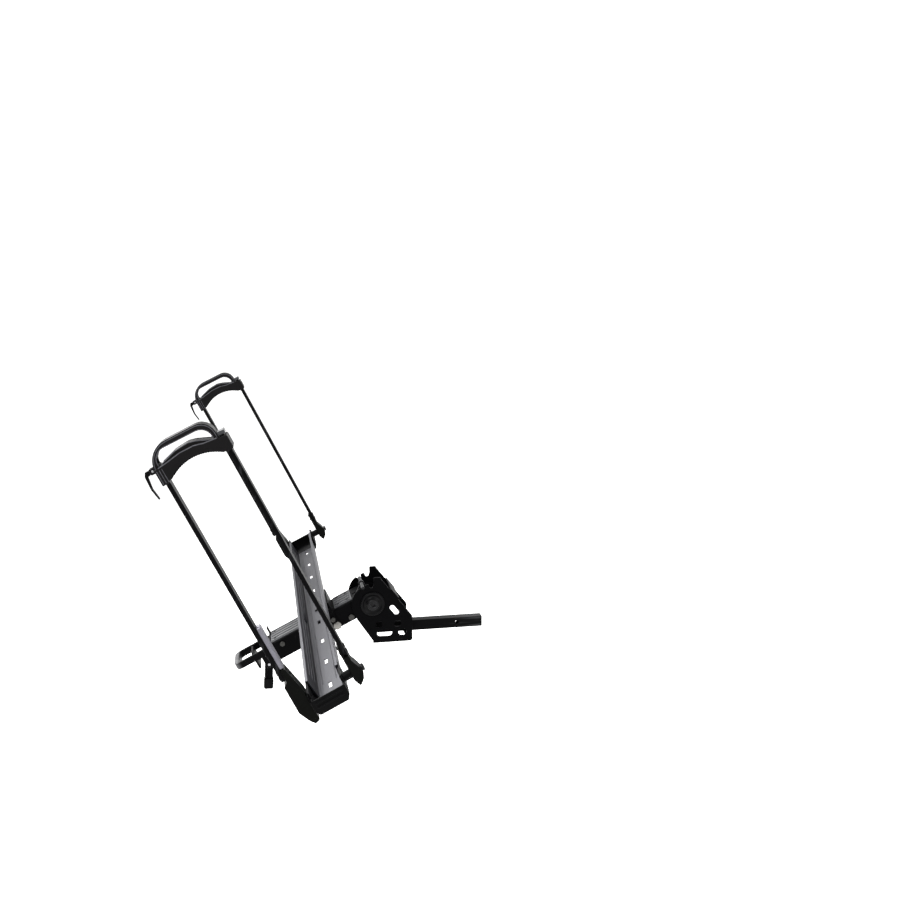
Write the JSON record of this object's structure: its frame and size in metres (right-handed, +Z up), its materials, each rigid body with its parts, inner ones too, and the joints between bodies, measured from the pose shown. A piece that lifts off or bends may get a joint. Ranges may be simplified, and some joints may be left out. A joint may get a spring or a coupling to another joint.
{
  "type": "hitch bike rack",
  "caption": "Tray-style hitch bicycle rack: square drawbar, tilting spine with a squeeze handle, wheel tray and folding wheel arms with sliding tyre hooks.",
  "frame": {"origin": "centre of the hitch pin hole, on the drawbar's axis", "axes": "+X towards the vehicle along the drawbar, +Y along the wheel tray, +Z up; the rack is in its lowered position with the wheel arms upright"},
  "size_m": [0.8835, 1.45, 0.8837],
  "materials": {
    "black_steel": "satin black powder coat",
    "drawbar_steel": "satin black powder coat, rubbed where it slides",
    "tray_metal": "dark grey satin coat on extruded aluminium",
    "moulded_black": "fine-grained moulded nylon",
    "moulded_end": "moulded black plastic with a soft sheen",
    "soft_rubber": "matt black rubber",
    "zinc": "bright zinc plate",
    "black_bolt": "black oxide steel",
    "raw_steel": "turned steel",
    "bush_nylon": "natural nylon",
    "spring_steel": "spring steel wire"
  },
  "bodies": {
    "hitch": {"drawbar": "drawbar_steel", "drawbar_plug": "moulded_black", "bracket_near_plate": "black_steel", "bracket_far_plate": "black_steel", "bracket_rear_web": "black_steel", "bracket_front_web": "black_steel", "bracket_floor": "black_steel", "bracket_gusset": "black_steel", "pivot_bolt": "black_bolt", "pivot_nut": "black_bolt", "pivot_caps": "black_steel"},
    "carrier": {"spine_channel": "black_steel", "spine_front_cover": "moulded_black", "spine_rear_cover": "moulded_black", "spine_end_cap": "moulded_black", "pivot_bushes": "bush_nylon", "pivot_sleeve": "raw_steel", "spine_side_bolt": "zinc", "spine_clamp_bolt": "zinc", "handle_loop": "black_steel", "handle_bolt": "zinc", "tray_saddle": "black_steel", "saddle_bolts": "zinc", "wheel_tray": "tray_metal", "tray_bolts": "black_bolt", "near_tray_end": "moulded_end", "far_tray_end": "moulded_end", "arm_axle_bolts": "black_bolt", "latch_guides": "black_steel", "foot_lever_pin": "raw_steel", "lever_spring": "spring_steel"},
    "release": {"trigger": "moulded_black", "pull_rod": "raw_steel"},
    "latch": {"latch_blade": "raw_steel", "latch_bar": "raw_steel"},
    "foot_release": {"foot_lever": "black_steel", "foot_pad": "soft_rubber"},
    "near_arm": {"near_outer_root": "black_steel", "near_inner_root": "black_steel", "near_outer_bar": "black_steel", "near_inner_bar": "black_steel", "near_bar_stiffener": "raw_steel", "near_arm_bolts": "black_bolt", "near_bar_stop": "moulded_black"},
    "near_holder": {"near_hook": "moulded_black", "near_hook_liner": "soft_rubber", "near_lever_pin": "raw_steel"},
    "near_squeeze_lever": {"near_hook_lever": "moulded_black"},
    "far_arm": {"far_outer_root": "black_steel", "far_inner_root": "black_steel", "far_outer_bar": "black_steel", "far_inner_bar": "black_steel", "far_bar_stiffener": "raw_steel", "far_arm_bolts": "black_bolt", "far_bar_stop": "moulded_black"},
    "far_holder": {"far_hook": "moulded_black", "far_hook_liner": "soft_rubber", "far_lever_pin": "raw_steel"},
    "far_squeeze_lever": {"far_hook_lever": "moulded_black"}
  },
  "joints": [
    {"name": "spine_tilt", "type": "hinge", "parent": "hitch", "child": "carrier", "pos_m": [-0.26, 0, 0.09], "axis": [0, 1, 0], "range_deg": [0, 116.5]},
    {"name": "trigger_pull", "type": "slide", "parent": "carrier", "child": "release", "axis": [-0.8949, 0, -0.4462], "range_m": [0, 0.012], "stiffness_N_per_m": 900, "springref_m": -0.012},
    {"name": "latch_lift", "type": "slide", "parent": "carrier", "child": "latch", "axis": [-0.4462, 0, 0.8949], "range_m": [0, 0.012]},
    {"name": "foot_lever_swing", "type": "hinge", "parent": "carrier", "child": "foot_release", "pos_m": [-0.56117, 0, -0.07915], "axis": [0, -1, 0], "range_deg": [0, 34.39]},
    {"name": "near_arm_fold", "type": "hinge", "parent": "carrier", "child": "near_arm", "pos_m": [-0.43395, -0.68, 0.10272], "axis": [-0.8949, 0, -0.4462], "range_deg": [-15, 80]},
    {"name": "near_hook_slide", "type": "slide", "parent": "near_arm", "child": "near_holder", "axis": [-0.4462, 0, 0.8949], "range_m": [-0.25, 0]},
    {"name": "near_lever_squeeze", "type": "hinge", "parent": "near_holder", "child": "near_squeeze_lever", "pos_m": [-0.78846, -0.68, 0.61205], "axis": [0, -1, 0], "range_deg": [0, 14], "stiffness_Nm_per_rad": 0.6, "springref_deg": -20.05},
    {"name": "far_arm_fold", "type": "hinge", "parent": "carrier", "child": "far_arm", "pos_m": [-0.43395, 0.68, 0.10272], "axis": [0.8949, 0, 0.4462], "range_deg": [-15, 80]},
    {"name": "far_hook_slide", "type": "slide", "parent": "far_arm", "child": "far_holder", "axis": [-0.4462, 0, 0.8949], "range_m": [-0.25, 0]},
    {"name": "far_lever_squeeze", "type": "hinge", "parent": "far_holder", "child": "far_squeeze_lever", "pos_m": [-0.78846, 0.68, 0.61205], "axis": [0, -1, 0], "range_deg": [0, 14], "stiffness_Nm_per_rad": 0.6, "springref_deg": -20.05}
  ],
  "couplings": [
    {"joint": "latch_lift", "follows": "trigger_pull", "ratio": 1},
    {"joint": "foot_lever_swing", "follows": "trigger_pull", "rad_per_m": 50}
  ]
}
